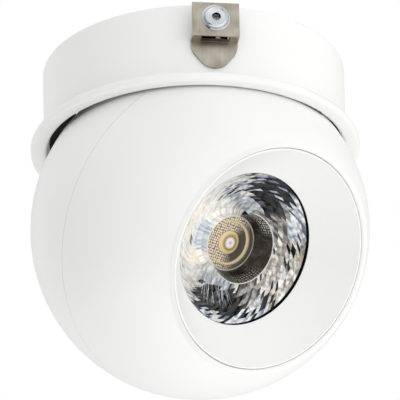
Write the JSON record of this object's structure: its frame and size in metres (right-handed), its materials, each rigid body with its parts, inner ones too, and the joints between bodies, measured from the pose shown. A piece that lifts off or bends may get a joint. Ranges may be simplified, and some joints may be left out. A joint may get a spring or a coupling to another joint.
{
  "type": "recessed ball spotlight",
  "caption": "Semi-recessed ceiling spotlight: a white ball with a dished bezel and faceted lens that pans and tilts in a collar held by spring clips.",
  "frame": {"origin": "on the pan axis, in the plane of the flange's upper face, which is the ceiling surface", "axes": "+Z is the pan axis, up into the ceiling. At rest the lens points towards -Y and down, 55.6 degrees from straight down. X is the tilt axis."},
  "size_m": [0.082, 0.0815, 0.0929],
  "materials": {
    "white_coat": "fine matt white powder coat on die-cast aluminium",
    "spring_steel": "cold-rolled stainless spring strip, faintly grained",
    "rivet_metal": "bright turned blind rivet",
    "spacer_steel": "plain turned steel sleeve",
    "zinc_steel": "bright zinc plate",
    "cast_aluminium": "bare die casting",
    "nylon": "natural nylon",
    "pad_rubber": "silicone gap pad",
    "board_white": "white moulding and solder mask",
    "phosphor": "silicone with yellow phosphor",
    "black_plastic": "matt black moulding",
    "clear_lens": "clear optical acrylic with facets"
  },
  "bodies": {
    "root": {"collar_ring": "white_coat", "bridge_plate": "zinc_steel", "bridge_screws": "zinc_steel", "stop_pin": "zinc_steel", "spring_clip_front": "spring_steel", "spring_clip_rear": "spring_steel", "clip_spacers": "spacer_steel", "clip_rivets": "rivet_metal"},
    "swivel": {"yoke": "cast_aluminium", "hollow_nipple": "zinc_steel", "pan_friction_washer": "nylon", "pan_spring_washer": "zinc_steel", "pan_nut": "zinc_steel", "cable_bush": "nylon"},
    "ball": {"front_shell": "white_coat", "rear_shell": "white_coat", "heat_sink": "cast_aluminium", "sink_screws": "zinc_steel", "rear_shell_screws": "zinc_steel", "pivot_screws": "zinc_steel", "pivot_friction_washers": "nylon", "pivot_spring_washers": "zinc_steel", "thermal_pad": "pad_rubber", "led_board": "board_white", "led_emitter": "phosphor", "led_holder": "board_white", "holder_screws": "zinc_steel", "lens_holder": "black_plastic", "lens": "clear_lens", "front_bezel": "white_coat"}
  },
  "joints": [
    {"name": "pan", "type": "hinge", "parent": "root", "child": "swivel", "pos_m": [0, 0, 0.02107], "axis": [0, 0, 1], "range_deg": [-165, 165]},
    {"name": "tilt", "type": "hinge", "parent": "swivel", "child": "ball", "pos_m": [0, 0, -0.02269], "axis": [-1, 0, 0], "range_deg": [-55.6, 2.4]}
  ]
}
